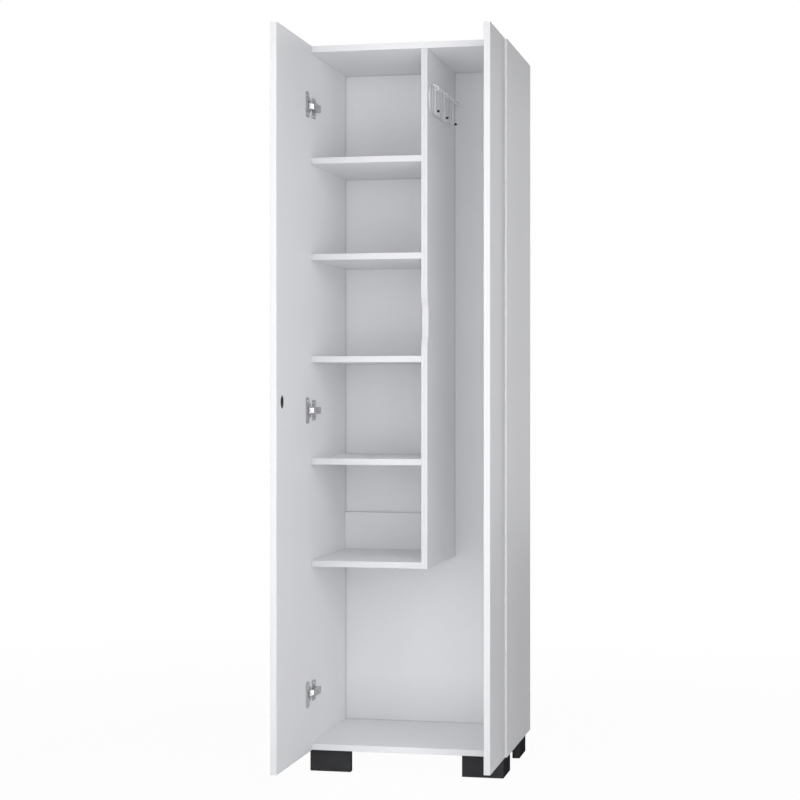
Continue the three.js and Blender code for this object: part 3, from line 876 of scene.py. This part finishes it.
# Hooks: their arms dip from the bar to the rings, and the tip stands closer to the stem
HOOK_DIP = 0.0065
HOOK_ROOT = 0.002
HOOK_WIRE_RADIUS = 0.0016
HOOK_THROAT = 0.0105
NARROW_THROAT = 0.0075


def settle_hook(obj, low, high):
    middle = (low[2] + high[2]) / 2
    stem = high[0] - HOOK_WIRE_RADIUS - HOOK_THROAT
    shift_verts(obj, lambda co: co.z > middle and co.x > low[0] + HOOK_ROOT, (0.0, 0.0, -HOOK_DIP))
    pick_verts(obj, lambda co: co.z < middle and co.x > stem + HOOK_WIRE_RADIUS / 2)
    bpy.ops.transform.resize(value=(NARROW_THROAT / HOOK_THROAT, 1.0, 1.0),
                             center_override=(stem, low[1], low[2]))
    leave_edit()


# Wire and tips: a merged copy of the faceted solid, remeshed and relaxed
FRAME_VOXEL = 0.0005
HOOK_VOXEL = 0.0004
TIP_VOXEL = 0.0003
WIRE_PASSES = 5
TIP_PASSES = 4
RELAX_SHARE = 0.5


def relax(obj, voxel, passes):
    apply_modifier(obj, "REMESH", mode="VOXEL", voxel_size=voxel)
    apply_modifier(obj, "SMOOTH", factor=RELAX_SHARE, iterations=passes)
    smooth(obj, math.pi)


def place_rack():
    bar = merged_copy("rack_frame", "rack_frame_smooth")
    relax(bar, FRAME_VOXEL, WIRE_PASSES)
    piece_from(bar, "carcass", "white_wire", wire_coat, "rack_frame")
    for number in (1, 2, 3):
        hook_name, tip_name = f"rack_hook_{number}", f"hook_tip_{number}"
        hook = merged_copy(hook_name, f"{hook_name}_smooth")
        settle_hook(hook, *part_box(hook_name))
        relax(hook, HOOK_VOXEL, WIRE_PASSES)
        piece_from(hook, "carcass", "white_wire", wire_coat, hook_name)
        tip = merged_copy(tip_name, f"{tip_name}_smooth")
        shift_verts(tip, lambda co: True, (NARROW_THROAT - HOOK_THROAT, 0.0, 0.0))
        relax(tip, TIP_VOXEL, TIP_PASSES)
        piece_from(tip, "carcass", "black_plastic", plastic, tip_name)


# Feet: the moulded corner block with rounded edges
FOOT_ROUND = 0.0014
FLAT_ANGLE = math.radians(1.0)


def place_feet():
    for name in nodes:
        if not name.endswith("foot"):
            continue
        obj = merged_copy(name, f"{name}_rounded")
        pick_all(obj)
        bpy.ops.mesh.dissolve_limited(angle_limit=FLAT_ANGLE)
        leave_edit()
        soften(obj, FOOT_ROUND, segments=3)
        smooth(obj)
        piece_from(obj, "carcass", "black_plastic", foot_plastic, name)


# Finger pull: a shallow round cup with a rolled rim, set into the left door
PULL_RIM = 0.0016
PULL_WALL = 0.0012
PULL_ROLL = 0.0005


def place_pull():
    low, high = (Vector(corner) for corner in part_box("finger_pull"))
    centre = (low + high) / 2
    rim_radius = (high.z - low.z) / 2
    shell_radius = rim_radius - PULL_RIM

    def round_solid(name, radius, start, end):
        return add_rod(name, radius, (start, centre.y, centre.z), (end, centre.y, centre.z), CUP_SIDES)

    shell = round_solid("shell", shell_radius, low.x, high.x)
    hollow(shell, lambda normal: normal.x < -ROUGHLY_ALIGNED, PULL_WALL, high.x - low.x - PULL_WALL)
    rim = round_solid("rim", rim_radius, low.x, low.x + PULL_WALL)
    bore = round_solid("bore", shell_radius - PULL_WALL, low.x - PULL_WALL, low.x + 2 * PULL_WALL)
    combine(rim, bore, "DIFFERENCE")
    soften(rim, PULL_ROLL, segments=3)
    obj = join_all("finger_pull_cup", shell, rim)
    smooth(obj)
    piece_from(obj, "left_door", "black_plastic", plastic, "finger_pull")


# 1 for what the camera, a reflection or a clear surface sees, and 0 for what only lights
def seen_directly(tree):
    path = add_node(tree, "ShaderNodeLightPath")
    indirect = math_node(tree, "MAXIMUM", path.outputs["Is Glossy Ray"],
                         path.outputs["Is Transmission Ray"])
    return math_node(tree, "MAXIMUM", path.outputs["Is Camera Ray"], indirect)


# Mixes the shader that lights with the one that is seen, and puts them out
def mix_to_output(tree, factor, lights, seen, output):
    mix = add_node(tree, "ShaderNodeMixShader")
    for socket, value in zip(mix.inputs, (factor, lights.outputs[0], seen.outputs[0])):
        tree.links.new(value, socket)
    tree.links.new(mix.outputs[0], tree.nodes[output].inputs["Surface"])


# Floor: white to the camera and to reflections, and near the cupboard not quite, for its shadow
FLOOR_SIZE = 40.0
FLOOR_TONE = (0.80, 0.80, 0.80, 1.0)
FLOOR_ROUGHNESS = 0.9
FLOOR_SPECULAR = 0.1
SHADOW_REACH = 1.0
WHITE_FROM = 3.0
SHADOW_WHITE_SHARE = 0.97


def make_floor():
    deselect_all()
    bpy.ops.mesh.primitive_plane_add(size=FLOOR_SIZE, location=(0.0, 0.0, 0.0))
    floor = bpy.context.object
    floor.name = "floor"
    material, tree, shader, vector = new_material("pale_floor", specular=FLOOR_SPECULAR)
    shader.inputs["Base Color"].default_value = FLOOR_TONE
    shader.inputs["Roughness"].default_value = FLOOR_ROUGHNESS
    white = add_node(tree, "ShaderNodeEmission", in_Color=WHITE, in_Strength=1.0)
    away = add_node(tree, "ShaderNodeVectorMath", operation="LENGTH")
    tree.links.new(vector, away.inputs[0])
    whiteness = add_node(tree, "ShaderNodeMapRange", in_From_Min=SHADOW_REACH, in_From_Max=WHITE_FROM,
                         in_To_Min=SHADOW_WHITE_SHARE, in_To_Max=1.0)
    tree.links.new(away.outputs["Value"], whiteness.inputs["Value"])
    seen = math_node(tree, "MULTIPLY", seen_directly(tree), whiteness.outputs[0])
    mix_to_output(tree, seen, shader, white, "Material Output")
    floor.data.materials.append(material)


# World: soft even light, and plain white to the camera and to reflections
SOFT_TONE = (0.98, 0.982, 1.0, 1.0)
SOFT_STRENGTH = 0.08


def make_world():
    world = bpy.data.worlds.new("studio")
    bpy.context.scene.world = world
    world.use_nodes = True
    tree = world.node_tree
    soft = tree.nodes["Background"]
    soft.inputs["Color"].default_value = SOFT_TONE
    soft.inputs["Strength"].default_value = SOFT_STRENGTH
    white = add_node(tree, "ShaderNodeBackground", in_Color=WHITE, in_Strength=1.0)
    mix_to_output(tree, seen_directly(tree), soft, white, "World Output")


# Lamps: name, place, target, width, height, power
MIDDLE = (0.0, 0.0, 0.9)
LAMP_TONE = (0.985, 0.986, 1.0)
LAMPS = (
    ("camera_side_box", (0.95, -4.3, 0.95), MIDDLE, 0.8, 2.0, 10.0),
    ("right_front_box", (1.8, -2.6, 1.5), MIDDLE, 1.0, 2.4, 21.2),
    ("right_box", (2.4, -2.4, 1.5), MIDDLE, 1.0, 2.4, 8.8),
    ("right_near_strip", (0.6, -1.6, 1.0), (-0.1, 0.0, 0.9), 0.5, 2.0, 6.6),
    ("left_front_box", (-1.2, -2.5, 1.2), MIDDLE, 1.0, 2.4, 15.7),
    ("left_strip", (-0.6, -3.0, 1.0), MIDDLE, 0.8, 2.2, 13.2),
    ("near_strip", (0.0, -0.7, 1.0), (0.0, 0.3, 0.9), 0.1, 1.7, 0.88),
    ("top_shelf_fill", (-0.1, -0.75, 1.75), (-0.1, 0.1, 1.2), 0.3, 0.3, 0.23),
    ("low_fill", (0.9, -3.0, 0.3), MIDDLE, 1.0, 0.4, 4.2),
    ("rear_box", (0.3, 3.4, 1.3), MIDDLE, 1.2, 2.0, 34.0),
    ("overhead_box", (0.0, -0.6, 3.2), (0.0, -0.6, 0.0), 2.0, 2.0, 6.4),
)


def area_light(name, place, target, width, height, power):
    data = bpy.data.lights.new(name, "AREA")
    data.shape = "RECTANGLE"
    data.size = width
    data.size_y = height
    data.energy = power
    data.color = LAMP_TONE
    light = bpy.data.objects.new(name, data)
    bpy.context.collection.objects.link(light)
    light.location = place
    light.visible_camera = False
    light.rotation_euler = (Vector(target) - Vector(place)).to_track_quat("-Z", "Y").to_euler()


def make_lights():
    for lamp in LAMPS:
        area_light(*lamp)


def make_camera():
    data = bpy.data.cameras.new("camera")
    data.sensor_width = SENSOR_WIDTH
    data.sensor_fit = "HORIZONTAL"
    data.lens = FOCAL_PIXELS / IMAGE_SIZE * SENSOR_WIDTH
    data.shift_x = -(CENTRE_PIXEL - IMAGE_SIZE / 2) / IMAGE_SIZE
    data.clip_end = CAMERA_REACH
    camera = bpy.data.objects.new("camera", data)
    bpy.context.collection.objects.link(camera)
    camera.location = CAMERA_PLACE
    camera.rotation_euler = (math.pi / 2 + CAMERA_PITCH, 0.0, CAMERA_YAW)
    bpy.context.scene.camera = camera


place_hinges()
place_rack()
place_feet()
place_pull()
make_floor()
make_world()
make_lights()
make_camera()
bpy.context.scene.view_settings.view_transform = "Standard"
